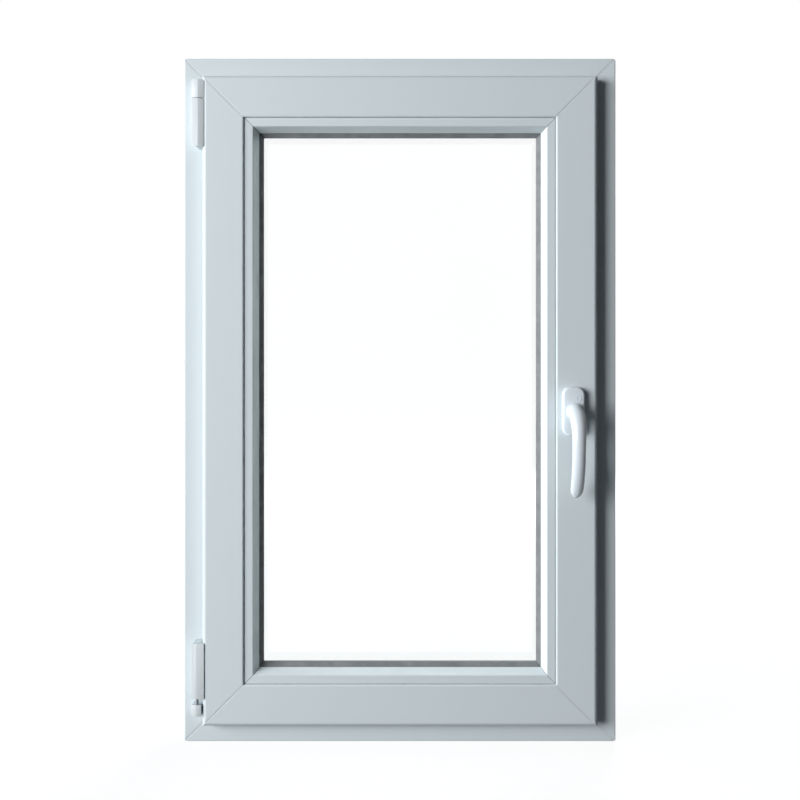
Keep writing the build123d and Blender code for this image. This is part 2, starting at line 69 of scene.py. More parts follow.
# %% [markdown]
# ## The camera
#
# The photograph looks straight at the window from the room. The two sides of the frame
# stay parallel in it, so the camera was level, and the raised sash is shifted only a
# little against the frame, so it stood well over a metre away. It stood a little above
# the middle of the window. A level camera that is raised needs its lens shifted down,
# as architects do, to keep the window in the middle of the picture.

# %% Place the camera
FRAME_FACE_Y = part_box("frame_sill")[0].y
MIDDLE_Z = (cad_bounds[0][2] + cad_bounds[1][2]) / 2
CAMERA_DISTANCE = 1.30
PICTURE_WIDTH = 1.113
SENSOR_MM = 36
LENS_SHIFT = 0.08


def make_camera():
    """A level camera that frames PICTURE_WIDTH metres at the face of the frame."""
    camera = bpy.data.objects.new("camera", bpy.data.cameras.new("camera"))
    bpy.context.scene.collection.objects.link(camera)
    raised = LENS_SHIFT * PICTURE_WIDTH
    camera.location = (0, FRAME_FACE_Y - CAMERA_DISTANCE, MIDDLE_Z + raised)
    camera.rotation_euler = (radians(90), 0, 0)
    camera.data.sensor_width = SENSOR_MM
    camera.data.lens = SENSOR_MM * CAMERA_DISTANCE / PICTURE_WIDTH
    camera.data.shift_y = -LENS_SHIFT
    bpy.context.scene.camera = camera
    return camera


camera = make_camera()
bpy.context.scene.view_settings.view_transform = "Standard"
print("camera at", tuple(round(c, 3) for c in camera.location), "lens", round(camera.data.lens, 1))

# %% [markdown]
# ## A helper for node trees
#
# Every finish below is a small tree of nodes. Adding a node, filling its sockets and
# linking it takes three or four lines each time, so a small class does that, and a
# finish then reads like a recipe. A socket is filled with a number or a colour, or is
# linked when it is given another node's output.

# %% A short way to write node trees
class Tree:
    """The nodes of a material or a world, with short ways to add and join them."""

    def __init__(self, owner):
        owner.use_nodes = True
        self.owner = owner
        self.nodes = owner.node_tree.nodes
        self.link = owner.node_tree.links.new
        self.nodes.clear()

    def fill(self, socket, value):
        """Link the socket to another node's output, or give it a plain value."""
        if isinstance(value, bpy.types.NodeSocket):
            self.link(value, socket)
        else:
            socket.default_value = value

    def add(self, kind, options=None, **sockets):
        """Add a node, with its options and its sockets; an underscore stands for a space."""
        node = self.nodes.new(kind)
        for option, value in (options or {}).items():
            setattr(node, option, value)
        for socket, value in sockets.items():
            self.fill(node.inputs[socket.replace("_", " ")], value)
        return node

    def calc(self, operation, *values):
        """The result of a Math node; each value is a number or an output."""
        node = self.nodes.new("ShaderNodeMath")
        node.operation = operation
        for socket, value in zip(node.inputs, values):
            self.fill(socket, value)
        return node.outputs[0]

    def place(self):
        """The point of the surface, in metres, in the window's own frame."""
        return self.add("ShaderNodeTexCoord").outputs["Object"]

    def noise(self, scale, detail, stretch=(1, 1, 1)):
        """Noise from 0 to 1 with about `scale` bumps a metre, longer where stretch is small."""
        squeezed = self.add("ShaderNodeMapping", Vector=self.place(), Scale=stretch)
        texture = self.add("ShaderNodeTexNoise", Vector=squeezed.outputs[0], Scale=scale, Detail=detail)
        return texture.outputs["Fac"]

    def fade(self, value, start, end, low=0.0, high=1.0):
        """Carry a value smoothly from low at start to high at end."""
        options = {"interpolation_type": "SMOOTHSTEP"}
        sockets = {"From Min": start, "From Max": end, "To Min": low, "To Max": high}
        return self.add("ShaderNodeMapRange", options, Value=value, **sockets).outputs[0]

    def tint(self, amount, first, second):
        """A colour between two, by an amount from 0 to 1."""
        node = self.nodes.new("ShaderNodeMix")
        node.data_type = "RGBA"
        self.fill(node.inputs["Factor"], amount)
        for socket, color in zip((node.inputs[6], node.inputs[7]), (first, second)):
            self.fill(socket, (*color, 1) if isinstance(color, tuple) else color)
        return node.outputs[2]

    def bump(self, height, depth, under=None):
        """The surface's normal under a relief: a height from 0 to 1, times a depth in metres."""
        node = self.add("ShaderNodeBump", Height=height, Distance=depth, Strength=1.0)
        if under is not None:
            self.link(under, node.inputs["Normal"])
        return node.outputs[0]

    def finish(self, shader, kind="ShaderNodeOutputMaterial"):
        """Join the shader to the tree's output and give back what the tree belongs to."""
        self.link(shader.outputs[0], self.nodes.new(kind).inputs["Surface"])
        print(self.owner.name, "nodes:", len(self.nodes))
        return self.owner


def new_tree(name):
    """The tree of a new material."""
    return Tree(bpy.data.materials.new(name))


# %% [markdown]
# ## Surround, floor and lamps
#
# The window hangs in plain white in the photograph. A white surround that also lit the
# window would wash out every shadow, so the world shows white only to the camera and to
# rays that mirror or pass through glass, and gives other rays a dim, bluish light. A ray
# that has already left a matt surface counts as light, even if it then goes through the
# glass. The floor does the same, and keeps the window's shadow.

# %% Rays that look at the surround
def seen_directly(tree):
    """1 for rays from the camera, off a mirror or through glass, and 0 for the others."""
    path = tree.add("ShaderNodeLightPath").outputs
    mirrored = tree.calc("MAXIMUM", path["Is Camera Ray"], path["Is Glossy Ray"])
    seen = tree.calc("MAXIMUM", mirrored, path["Is Transmission Ray"])
    return tree.calc("MULTIPLY", seen, tree.calc("LESS_THAN", path["Diffuse Depth"], 1.0))


# %% [markdown]
# The world is two backgrounds, a dim one and a white one. The helper above picks one of
# them for each ray.

# %% World
WORLD_LIGHT = 0.03
WORLD_COLOR = (0.74, 0.90, 1.0, 1)


def light_world():
    """White to look at, dim and bluish as a light."""
    bpy.context.scene.world = bpy.data.worlds.new("surround")
    tree = Tree(bpy.context.scene.world)
    dim = tree.add("ShaderNodeBackground", Color=WORLD_COLOR, Strength=WORLD_LIGHT)
    white = tree.add("ShaderNodeBackground", Color=(1, 1, 1, 1), Strength=1.0)
    mix = tree.add("ShaderNodeMixShader", Fac=seen_directly(tree))
    tree.link(dim.outputs[0], mix.inputs[1])
    tree.link(white.outputs[0], mix.inputs[2])
    tree.finish(mix, "ShaderNodeOutputWorld")


light_world()

# %% [markdown]
# The floor is a big square of matt grey that also glows for rays that look at it. So it
# is as white as the surround and still darkens where the window shades it. Near the
# window it glows a little less, because the lamps add their light there.

# %% Floor
FLOOR_SIZE = 40
NEAR_GLOW = 0.91
FAR_GLOW = 1.0
GLOW_REACH = 2.0
FLOOR_GREY = (0.13, 0.14, 0.15)


def make_floor():
    """A pale floor that keeps the window's shadow and meets the white surround unseen."""
    mesh = bmesh.new()
    bmesh.ops.create_grid(mesh, x_segments=1, y_segments=1, size=FLOOR_SIZE / 2)
    data = bpy.data.meshes.new("floor")
    mesh.to_mesh(data)
    mesh.free()
    floor = bpy.data.objects.new("floor", data)
    bpy.context.scene.collection.objects.link(floor)
    tree = new_tree("pale_floor")
    matt = tree.add("ShaderNodeBsdfDiffuse", Color=(*FLOOR_GREY, 1))
    away = tree.add("ShaderNodeVectorMath", {"operation": "LENGTH"}, Vector=tree.place())
    strength = tree.fade(away.outputs["Value"], GLOW_REACH / 2, GLOW_REACH, NEAR_GLOW, FAR_GLOW)
    glow = tree.add("ShaderNodeEmission", Strength=strength)
    both = tree.add("ShaderNodeAddShader")
    tree.link(matt.outputs[0], both.inputs[0])
    tree.link(glow.outputs[0], both.inputs[1])
    mix = tree.add("ShaderNodeMixShader", Fac=seen_directly(tree))
    tree.link(matt.outputs[0], mix.inputs[1])
    tree.link(both.outputs[0], mix.inputs[2])
    data.materials.append(tree.finish(mix))


make_floor()
print("floor:", FLOOR_SIZE, "m wide")

# %% [markdown]
# One lamp does most of the work. The sash throws a wide shadow to its right and only a
# faint one downwards, and the shadow fades out slowly, so the light comes from a wide
# bright surface on the left and a little above, such as the window of a room. It stands
# a few metres away, because the left side is only a little brighter than the right. A
# second lamp behind the window only lights its outer side, which the photograph doesn't
# show but other views do. It stands far enough to the side to reach the right edge of
# the frame, but not so far that it reaches the slopes of the glazing beads through the
# glass. Both lamps are hidden from the camera, which would otherwise see them through
# the glass.

# %% Lamps
# Both lamps aim at the middle of the window, close to the sash's face
TARGET = Vector((0, -0.05, MIDDLE_Z))
KEY_DIRECTION = (-1.45, -1.0, 0.30)
KEY_DISTANCE = 4.2
KEY_SIZE = (3.0, 2.3)
KEY_WATTS = 245
BACK_DIRECTION = (0.38, 1.0, 0.25)
BACK_DISTANCE = 2.6
BACK_SIZE = (1.0, 1.0)
BACK_WATTS = 65


def area_lamp(name, direction, distance, size, power):
    """A flat lamp that shines at the window, in a direction given from the window."""
    data = bpy.data.lights.new(name, "AREA")
    data.shape = "RECTANGLE"
    data.size, data.size_y = size
    data.energy = power
    lamp = bpy.data.objects.new(name, data)
    bpy.context.scene.collection.objects.link(lamp)
    lamp.visible_camera = lamp.visible_transmission = False
    towards = Vector(direction).normalized()
    lamp.location = TARGET + towards * distance
    lamp.rotation_euler = (-towards).to_track_quat("-Z", "Y").to_euler()
    return lamp


key_lamp = area_lamp("key", KEY_DIRECTION, KEY_DISTANCE, KEY_SIZE, KEY_WATTS)
back_lamp = area_lamp("back", BACK_DIRECTION, BACK_DISTANCE, BACK_SIZE, BACK_WATTS)
print("lamps at", key_lamp.location, back_lamp.location)

# %% [markdown]
# ## White plastic profile
#
# The frame and the sash are extruded: hot plastic is pushed through a steel die, which
# leaves a satin skin with very fine lines along the bar. The bars are cut at 45 degrees
# and welded, and the weld is planed off, which leaves a shallow, duller band on the
# mitre. The band can't be a picture laid on the surface, so it is worked out from the
# distance to the mitre: on a mitre, a point is as far in from the side of the window as
# it is from the top or the bottom.

# %% Where the mitres are
HALF_WIDTH = (cad_bounds[1][0] - cad_bounds[0][0]) / 2
HALF_HEIGHT = (cad_bounds[1][2] - cad_bounds[0][2]) / 2
# Square to a line at 45 degrees, a distance along X or Z counts this much
DIAGONAL = 0.7071


def depth_from_edges(tree, axes):
    """How far in a point is from the nearer side of the window, and from the nearer end."""
    from_side = tree.calc("SUBTRACT", HALF_WIDTH, tree.calc("ABSOLUTE", axes["X"]))
    height = tree.calc("ABSOLUTE", tree.calc("SUBTRACT", axes["Z"], MIDDLE_Z))
    return from_side, tree.calc("SUBTRACT", HALF_HEIGHT, height)


def mitre_distance(tree):
    """How far a point is from the nearest mitre, in metres."""
    axes = tree.add("ShaderNodeSeparateXYZ", Vector=tree.place()).outputs
    from_side, from_end = depth_from_edges(tree, axes)
    apart = tree.calc("ABSOLUTE", tree.calc("SUBTRACT", from_side, from_end))
    return tree.calc("MULTIPLY", apart, DIAGONAL)


print("the window is", round(2 * HALF_WIDTH, 3), "by", round(2 * HALF_HEIGHT, 3), "m")

# %% [markdown]
# The finish is two close whites in soft clouds, a duller one on the welds, and three
# layers of bump: the die lines, a low ripple and the scuffs that planing leaves.

# %% Profile finish
PVC_WHITE = (0.705, 0.775, 0.808)
PVC_SHADE = (0.68, 0.755, 0.792)
WELD_WHITE = (0.675, 0.742, 0.777)
PVC_SHEEN = 0.18
PVC_ROUGH = 0.31
PVC_CLOUDS = 7
WELD_HALF = 0.0022
WELD_SOFT = 0.0008
WELD_ROUGH = 0.16
DIE_LINES = 700
DIE_DEPTH = 0.000012
DIE_ROUGH = 0.06
RIPPLES = 260
RIPPLE_DEPTH = 0.000010
SCUFFS = 1500
SCUFF_DEPTH = 0.00005


def profile_finish(name, stretch):
    """Satin extruded plastic, with die lines along the axis that stretch makes long."""
    tree = new_tree(name)
    white = tree.tint(tree.noise(PVC_CLOUDS, detail=3), PVC_SHADE, PVC_WHITE)
    lines = tree.noise(DIE_LINES, detail=3, stretch=stretch)
    weld = tree.fade(mitre_distance(tree), WELD_HALF + WELD_SOFT, WELD_HALF - WELD_SOFT)
    rough = tree.calc("MULTIPLY_ADD", lines, DIE_ROUGH, PVC_ROUGH)
    lined = tree.bump(lines, DIE_DEPTH)
    rippled = tree.bump(tree.noise(RIPPLES, detail=1), RIPPLE_DEPTH, lined)
    scuffs = tree.calc("MULTIPLY", tree.noise(SCUFFS, detail=4), weld)
    shader = tree.add(
        "ShaderNodeBsdfPrincipled",
        Base_Color=tree.tint(weld, white, WELD_WHITE),
        Specular_IOR_Level=PVC_SHEEN,
        Roughness=tree.calc("MULTIPLY_ADD", weld, WELD_ROUGH, rough),
        Normal=tree.bump(scuffs, SCUFF_DEPTH, rippled),
    )
    return tree.finish(shader)


# The die lines are drawn out 250 times, along X or along Z
ACROSS = (0.004, 1, 1)
UPRIGHT = (1, 1, 0.004)
level_profile = profile_finish("level_profile", ACROSS)
upright_profile = profile_finish("upright_profile", UPRIGHT)

# %% [markdown]
# ## Glazing beads
#
# The beads are the same plastic, but they aren't welded: each is cut with a saw and
# clipped in by hand, so at the corners two of them meet in a hairline joint instead of a
# planed band. The same distance to the mitre gives a thin dark line.

# %% Bead finish
JOINT_HALF = 0.00022
JOINT_GREY = (0.20, 0.22, 0.23)
BEAD_SHEEN = 0.08
BEAD_ROUGH = 0.30
BEAD_CLOUDS = 9


def bead_finish(name, stretch):
    """Satin plastic with a hairline joint at the mitres."""
    tree = new_tree(name)
    lines = tree.noise(DIE_LINES, detail=3, stretch=stretch)
    joint = tree.fade(mitre_distance(tree), JOINT_HALF * 2, JOINT_HALF)
    white = tree.tint(tree.noise(BEAD_CLOUDS, detail=3), PVC_SHADE, PVC_WHITE)
    shader = tree.add(
        "ShaderNodeBsdfPrincipled",
        Base_Color=tree.tint(joint, white, JOINT_GREY),
        Specular_IOR_Level=BEAD_SHEEN,
        Roughness=tree.calc("MULTIPLY_ADD", lines, DIE_ROUGH, BEAD_ROUGH),
        Normal=tree.bump(lines, DIE_DEPTH),
    )
    return tree.finish(shader)


level_bead = bead_finish("level_bead", ACROSS)
upright_bead = bead_finish("upright_bead", UPRIGHT)

# %% [markdown]
# ## Seals
#
# The seals are soft grey plastic, matt, with a faint grain. They are welded or cut at
# the corners as the profiles are, and a little dust sits on them, which lightens them
# in soft patches.

# %% Seal finish
SEAL_GREY = (0.195, 0.21, 0.22)
SEAL_DUSTY = (0.245, 0.26, 0.27)
SEAL_SHEEN = 0.12
SEAL_CUT = (0.10, 0.11, 0.115)
SEAL_ROUGH = 0.50
SEAL_GRAIN = 2500
SEAL_GRAIN_DEPTH = 0.00003
DUST_PATCHES = 60
DUST_STARTS = 0.35
DUST_FULL = 0.7
DUST_ROUGH = 0.15


def seal_finish():
    """Soft grey seal with dusty patches and a fine grain."""
    tree = new_tree("grey_seal")
    dust = tree.fade(tree.noise(DUST_PATCHES, detail=4), DUST_STARTS, DUST_FULL)
    grey = tree.tint(dust, SEAL_GREY, SEAL_DUSTY)
    cut = tree.fade(mitre_distance(tree), JOINT_HALF * 3, JOINT_HALF)
    shader = tree.add(
        "ShaderNodeBsdfPrincipled",
        Base_Color=tree.tint(cut, grey, SEAL_CUT),
        Specular_IOR_Level=SEAL_SHEEN,
        Roughness=tree.calc("MULTIPLY_ADD", dust, DUST_ROUGH, SEAL_ROUGH),
        Normal=tree.bump(tree.noise(SEAL_GRAIN, detail=3), SEAL_GRAIN_DEPTH),
    )
    return tree.finish(shader)


grey_seal = seal_finish()

# %% [markdown]
# ## Glass
#
# Float glass is clear and very slightly green, with a faint waviness that shows only in
# what it mirrors. Light would have to pass four surfaces of glass to reach the floor,
# and a path tracer finds such paths only with much noise. So shadow rays see plain
# transparency instead, which lets the lamps shine through.

# %% Glass finish
GLASS_TINT = (0.998, 1.0, 0.999)
GLASS_DEEP = (0.99, 1.0, 0.995)
GLASS_SHADOW = (0.93, 0.95, 0.94, 1)
GLASS_IOR = 1.5
WAVES = 7
WAVE_DEPTH = 0.00004


def glass_finish():
    """Clear float glass that lets lamps shine through it."""
    tree = new_tree("clear_glass")
    wave = tree.noise(WAVES, detail=1)
    clear = tree.add(
        "ShaderNodeBsdfPrincipled",
        Base_Color=tree.tint(wave, GLASS_DEEP, GLASS_TINT),
        Roughness=0.0,
        IOR=GLASS_IOR,
        Transmission_Weight=1.0,
        Normal=tree.bump(wave, WAVE_DEPTH),
    )
    plain = tree.add("ShaderNodeBsdfTransparent", Color=GLASS_SHADOW)
    path = tree.add("ShaderNodeLightPath").outputs
    mix = tree.add("ShaderNodeMixShader", Fac=path["Is Shadow Ray"])
    tree.link(clear.outputs[0], mix.inputs[1])
    tree.link(plain.outputs[0], mix.inputs[2])
    return tree.finish(mix)


clear_glass = glass_finish()

# %% [markdown]
# ## The edge of the glass unit
#
# A hollow aluminium bar keeps the two panes apart. It is full of drying beads, and two
# rows of tiny slots in it let them dry the air between the panes. The slots repeat every
# few millimetres, so they come from the remainder of the distance along the bar. Behind
# the bar is black sealant, and the unit stands on plastic packers.

# %% Spacer finish
SLOT_STEP = 0.0042
SLOT_HALF_LONG = 0.0012
SLOT_HALF_WIDE = 0.00035
SLOT_ROW = 0.0042
SPACER_LOW, SPACER_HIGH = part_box("glass_spacer")
SPACER_MIDDLE_Y = (SPACER_LOW.y + SPACER_HIGH.y) / 2
# The slots are painted black: painted shade for the dark insides of the holes
SLOT_PAINTED_SHADE = (0.03, 0.03, 0.03)
BAR_TONES = ((0.66, 0.67, 0.68), (0.74, 0.75, 0.76))
BAR_CLOUDS = 40
BAR_ROUGH = 0.30
BAR_CLOUD_ROUGH = 0.12


def along_the_bar(tree, axes):
    """How far along its own bar a point of the spacer is, in metres."""
    from_side, from_end = depth_from_edges(tree, axes)
    on_upright = tree.calc("LESS_THAN", from_side, from_end)
    turned = tree.calc("SUBTRACT", axes["Z"], axes["X"])
    return tree.calc("MULTIPLY_ADD", on_upright, turned, axes["X"])


def in_a_slot(tree):
    """1 in the slots of the spacer and 0 beside them."""
    axes = tree.add("ShaderNodeSeparateXYZ", Vector=tree.place()).outputs
    place = tree.calc("FLOORED_MODULO", along_the_bar(tree, axes), SLOT_STEP)
    off_middle = tree.calc("ABSOLUTE", tree.calc("SUBTRACT", place, SLOT_STEP / 2))
    row = tree.calc("ABSOLUTE", tree.calc("SUBTRACT", axes["Y"], SPACER_MIDDLE_Y))
    off_row = tree.calc("ABSOLUTE", tree.calc("SUBTRACT", row, SLOT_ROW))
    in_length = tree.calc("LESS_THAN", off_middle, SLOT_HALF_LONG)
    return tree.calc("MULTIPLY", in_length, tree.calc("LESS_THAN", off_row, SLOT_HALF_WIDE))


def spacer_finish():
    """Mill aluminium with two rows of slots, painted black as painted shade for their insides."""
    tree = new_tree("slotted_aluminium")
    slot = in_a_slot(tree)
    cloud = tree.noise(BAR_CLOUDS, detail=3)
    shader = tree.add(
        "ShaderNodeBsdfPrincipled",
        Base_Color=tree.tint(slot, tree.tint(cloud, *BAR_TONES), SLOT_PAINTED_SHADE),
        Metallic=tree.calc("SUBTRACT", 1.0, slot),
        Roughness=tree.calc("MULTIPLY_ADD", cloud, BAR_CLOUD_ROUGH, BAR_ROUGH),
    )
    return tree.finish(shader)


slotted_aluminium = spacer_finish()

# %% [markdown]
# The sealant and the packers are plainer: two close tones in a speckle, with a slight
# bump. One recipe does for both.

# %% Sealant and packers
SEALANT_TONES = ((0.012, 0.012, 0.013), (0.03, 0.03, 0.032))
PACKER_TONES = ((0.10, 0.15, 0.24), (0.13, 0.19, 0.29))
SPECKLE_ROUGH = 0.15


def speckled_finish(name, tones, scale, roughness, depth):
    """A plain surface with `scale` speckles a metre between two tones."""
    tree = new_tree(name)
    speckle = tree.noise(scale, detail=4)
    shader = tree.add(
        "ShaderNodeBsdfPrincipled",
        Base_Color=tree.tint(speckle, *tones),
        Roughness=tree.calc("MULTIPLY_ADD", speckle, SPECKLE_ROUGH, roughness),
        Normal=tree.bump(speckle, depth),
    )
    return tree.finish(shader)


black_sealant = speckled_finish("black_sealant", SEALANT_TONES, scale=220, roughness=0.45, depth=0.0003)
packer_plastic = speckled_finish("packer_plastic", PACKER_TONES, scale=500, roughness=0.50, depth=0.00003)

# %% [markdown]
# ## Steel of the fittings
#
# Screws, the spindle and the handle's base are zinc plated. Zinc is duller and bluer
# than polished steel and has a cloudy sheen, so both colour and roughness vary with a
# soft noise. The hinge pins take the same recipe with darker and rougher values; their
# dark is painted shade for the shaded gaps between the hinge covers.

# %% Steel finishes
ZINC_TONES = ((0.50, 0.51, 0.53), (0.66, 0.67, 0.68))
# The hinge pins' dark tones are painted shade for the shaded gaps between the covers
PIN_PAINTED_SHADE_TONES = ((0.10, 0.10, 0.105), (0.17, 0.17, 0.175))
STEEL_CLOUDS = 180
STEEL_CLOUD_ROUGH = 0.20
STEEL_GRAIN = 900
STEEL_GRAIN_DEPTH = 0.00001


def steel_finish(name, tones, roughness):
    """Steel with a cloudy sheen, between two tones."""
    tree = new_tree(name)
    cloud = tree.noise(STEEL_CLOUDS, detail=4)
    shader = tree.add(
        "ShaderNodeBsdfPrincipled",
        Base_Color=tree.tint(cloud, *tones),
        Metallic=1.0,
        Roughness=tree.calc("MULTIPLY_ADD", cloud, STEEL_CLOUD_ROUGH, roughness),
        Normal=tree.bump(tree.noise(STEEL_GRAIN, detail=2), STEEL_GRAIN_DEPTH),
    )
    return tree.finish(shader)


zinc_plate = steel_finish("zinc_plate", ZINC_TONES, roughness=0.28)
# Dark steel of the hinge pins: painted shade for the gaps between the covers
pin_steel_painted_shade = steel_finish("pin_steel_painted_shade", PIN_PAINTED_SHADE_TONES, roughness=0.45)

# %% [markdown]
# ## Gloss white
#
# The hinge covers are moulded plastic and the handle is powder coated metal. Both are
# glossier than the profiles, and their skin has the faint ripple that is called orange
# peel. It is a low noise in the bump, a few millimetres wide on the coating and finer
# on the moulding.

# %% Gloss finishes
MOULDED_TONES = ((0.715, 0.78, 0.81), (0.74, 0.80, 0.83))
COAT_TONES = ((0.74, 0.815, 0.88), (0.77, 0.84, 0.90))
GLOSS_CLOUDS = 35
GLOSS_CLOUD_ROUGH = 0.05


def gloss_finish(name, tones, roughness, ripple, depth):
    """A gloss white skin with orange peel of a given number of ripples a metre."""
    tree = new_tree(name)
    cloud = tree.noise(GLOSS_CLOUDS, detail=2)
    shader = tree.add(
        "ShaderNodeBsdfPrincipled",
        Base_Color=tree.tint(cloud, *tones),
        Roughness=tree.calc("MULTIPLY_ADD", cloud, GLOSS_CLOUD_ROUGH, roughness),
        Normal=tree.bump(tree.noise(ripple, detail=1), depth),
    )
    return tree.finish(shader)


moulded_white = gloss_finish("moulded_white", MOULDED_TONES, roughness=0.26, ripple=900, depth=0.000006)
powder_coat = gloss_finish("powder_coat", COAT_TONES, roughness=0.20, ripple=420, depth=0.000012)

# %% [markdown]
# ## Dress the solids
#
# Each solid gets its finish in the material slot of its own object. Level and upright
# members have the same plastic with the die lines turned, because an extruded bar has
# its lines along its length.

# %% Give every solid its finish
FINISHES = {
    level_profile: ("frame_sill", "frame_head", "sash_bottom_rail", "sash_top_rail"),
    upright_profile: ("frame_hinge_jamb", "frame_lock_jamb", "sash_hinge_stile", "sash_lock_stile"),
    level_bead: ("bead_bottom", "bead_top"),
    upright_bead: ("bead_hinge_side", "bead_lock_side"),
    grey_seal: ("bead_gasket", "outer_glazing_gasket", "frame_gasket", "sash_gasket"),
    clear_glass: ("inner_pane", "outer_pane"),
    slotted_aluminium: ("glass_spacer",),
    black_sealant: ("glass_edge_seal",),
    packer_plastic: ("glazing_blocks",),
    zinc_plate: ("rosette_screws", "handle_spindle", "handle_base"),
    pin_steel_painted_shade: ("top_hinge_pin", "bottom_hinge_pin"),
    moulded_white: (
        "top_hinge_bearing",
        "top_hinge_band",
        "bottom_hinge_bearing",
        "bottom_hinge_band",
        "drain_cap_left",
        "drain_cap_right",
    ),
    powder_coat: ("handle_rosette", "handle_lever"),
}
for finish, names in FINISHES.items():
    for name in names:
        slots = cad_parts[name].data.materials
        slots.clear()
        slots.append(finish)
dressed = sum(len(names) for names in FINISHES.values())
print("dressed", dressed, "of", len(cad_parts), "solids")

# %% [markdown]
# ## Turning a mesh into a piece of the window
#
# The pieces below are modelled here because their soft edges matter to the eye. Each
# starts as a simple shape that is extruded, scaled and bevelled. The last step is the
# same for all: the faces are turned outwards, shaded smooth except at true corners, the
# piece is tied to the body that it moves with, and the solid that it stands for is hidden.

# %% Helpers for pieces
def make_piece(mesh, name, finish, body, corner, solid=None):
    """Turn a bmesh into a piece on a body; edges that turn by more than corner degrees stay sharp."""
    bmesh.ops.recalc_face_normals(mesh, faces=mesh.faces)
    data = bpy.data.meshes.new(name)
    mesh.to_mesh(data)
    mesh.free()
    data.shade_smooth()
    data.set_sharp_from_angle(angle=radians(corner))
    data.materials.append(finish)
    piece = bpy.data.objects.new(name, data)
    bpy.context.scene.collection.objects.link(piece)
    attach(piece, body)
    if solid:
        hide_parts(solid)
    print(name, "faces:", len(data.polygons))
    return piece


def round_edges(mesh, edges, radius, segments):
    """Round the given edges."""
    bmesh.ops.bevel(
        mesh, geom=edges, offset=radius, segments=segments, profile=0.5, affect="EDGES", material=-1,
        clamp_overlap=True,
    )


def edges_where(mesh, test):
    """The edges whose two ends both pass a test on their place."""
    return [edge for edge in mesh.edges if all(test(vertex.co) for vertex in edge.verts)]


def near(value, target):
    """Whether two lengths are the same to a hundredth of a millimetre."""
    return abs(value - target) < 0.00001


# %% [markdown]
# ## The handle's cover
#
# The cover is a plate with round corners that hides two screws. A box does for the
# start. Bevelling its four short edges gives the round corners, and bevelling the rim of
# its front afterwards gives the soft edge that catches the light on the left.

# %% Cover of the handle
COVER_CORNER = 0.011
COVER_EDGE = 0.0028


def add_block(mesh, low, high):
    """Add a box between two corners to a bmesh."""
    corners = bmesh.ops.create_cube(mesh, size=1)["verts"]
    bmesh.ops.scale(mesh, vec=high - low, verts=corners)
    bmesh.ops.translate(mesh, vec=(low + high) / 2, verts=corners)


def block(low, high):
    """A bmesh box between two corners."""
    mesh = bmesh.new()
    add_block(mesh, low, high)
    return mesh


def make_cover():
    """The rounded plate behind the handle."""
    low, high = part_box("handle_rosette")
    mesh = block(low, high)
    short = [edge for edge in mesh.edges if not near(edge.verts[0].co.y, edge.verts[1].co.y)]
    round_edges(mesh, short, COVER_CORNER, segments=10)
    rim = edges_where(mesh, lambda co: near(co.y, low.y))
    round_edges(mesh, rim, COVER_EDGE, segments=5)
    make_piece(mesh, "handle_cover", powder_coat, "window", 50, "handle_rosette")


make_cover()

# %% [markdown]
# A small round catch sits on the upper right of the cover. A disc is extruded from a
# circle, and its face is inset and pushed in, which leaves a raised ring round a dimple.

# %% Catch on the cover
CATCH_PLACE = (0.0065, 0.018)
CATCH_RADIUS = 0.0031
CATCH_HEIGHT = 0.0009
CATCH_RING = 0.0008
CATCH_DIMPLE = 0.0016
CATCH_SUNK = 0.0002


def push(mesh, face, move, ring=0.0):
    """Inset a face and extrude it by a move; gives back the moved face."""
    if ring:
        bmesh.ops.inset_region(mesh, faces=[face], thickness=ring, use_even_offset=True)
    made = bmesh.ops.extrude_discrete_faces(mesh, faces=[face])["faces"][0]
    bmesh.ops.translate(mesh, vec=move, verts=made.verts)
    return made


def make_catch():
    """The small round catch."""
    low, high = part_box("handle_rosette")
    middle = (low + high) / 2
    centre = Vector((middle.x + CATCH_PLACE[0], low.y + CATCH_SUNK, middle.z + CATCH_PLACE[1]))
    facing = Matrix.Translation(centre) @ Matrix.Rotation(radians(90), 4, "X")
    mesh = bmesh.new()
    bmesh.ops.create_circle(mesh, cap_ends=True, segments=32, radius=CATCH_RADIUS, matrix=facing)
    top = push(mesh, next(iter(mesh.faces)), Vector((0, -CATCH_HEIGHT, 0)))
    push(mesh, top, Vector((0, CATCH_DIMPLE, 0)), CATCH_RING)
    make_piece(mesh, "cover_catch", powder_coat, "window", 50)


make_catch()

# %% [markdown]
# ## The lever
#
# The lever leaves the cover as a round neck, turns down in an elbow and runs into a
# flattened grip that bows back towards the sash. Its centreline is a few points joined
# by Bezier arcs whose handles follow the neighbouring points. Rings of changing width
# and depth are set square to the line and bridged, and a Subdivision Surface modifier
# smooths the steps between them.

# %% Centreline of the lever
COVER_LOW, COVER_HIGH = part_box("handle_rosette")
SASH_FACE_Y = COVER_HIGH.y
HANDLE_X = (COVER_LOW.x + COVER_HIGH.x) / 2
HANDLE_Z = (COVER_LOW.z + COVER_HIGH.z) / 2
# How far out from the sash and how far down from the pivot each point is, in millimetres
LEVER_LINE = ((10.3, 0), (26, 0.5), (41, 9), (48, 30), (46, 62), (39, 88), (25, 114))
STEPS = 4


def lever_line():
    """Points along the middle of the lever, from the neck to the tip."""
    knots = []
    for out, down in LEVER_LINE:
        knots.append(Vector((HANDLE_X, SASH_FACE_Y - out / 1000, HANDLE_Z - down / 1000)))
    slopes = [knots[1] - knots[0]]
    slopes += [(after - before) / 2 for before, after in zip(knots, knots[2:])]
    slopes.append(knots[-1] - knots[-2])
    slopes[0] = Vector((0, -slopes[0].length, 0))
    line = [knots[0]]
    for index, (start, end) in enumerate(zip(knots, knots[1:])):
        handles = (start + slopes[index] / 3, end - slopes[index + 1] / 3)
        line += interpolate_bezier(start, *handles, end, STEPS + 1)[1:]
    return line


lever_points = lever_line()
lever_length = sum((b - a).length for a, b in zip(lever_points, lever_points[1:]))
print("lever length:", round(lever_length * 1000), "mm")

# %% [markdown]
# The neck is round, the grip is wider than it is deep, and the tip narrows quickly. A
# table of sizes along the line says so, and the rings between its rows are blended.

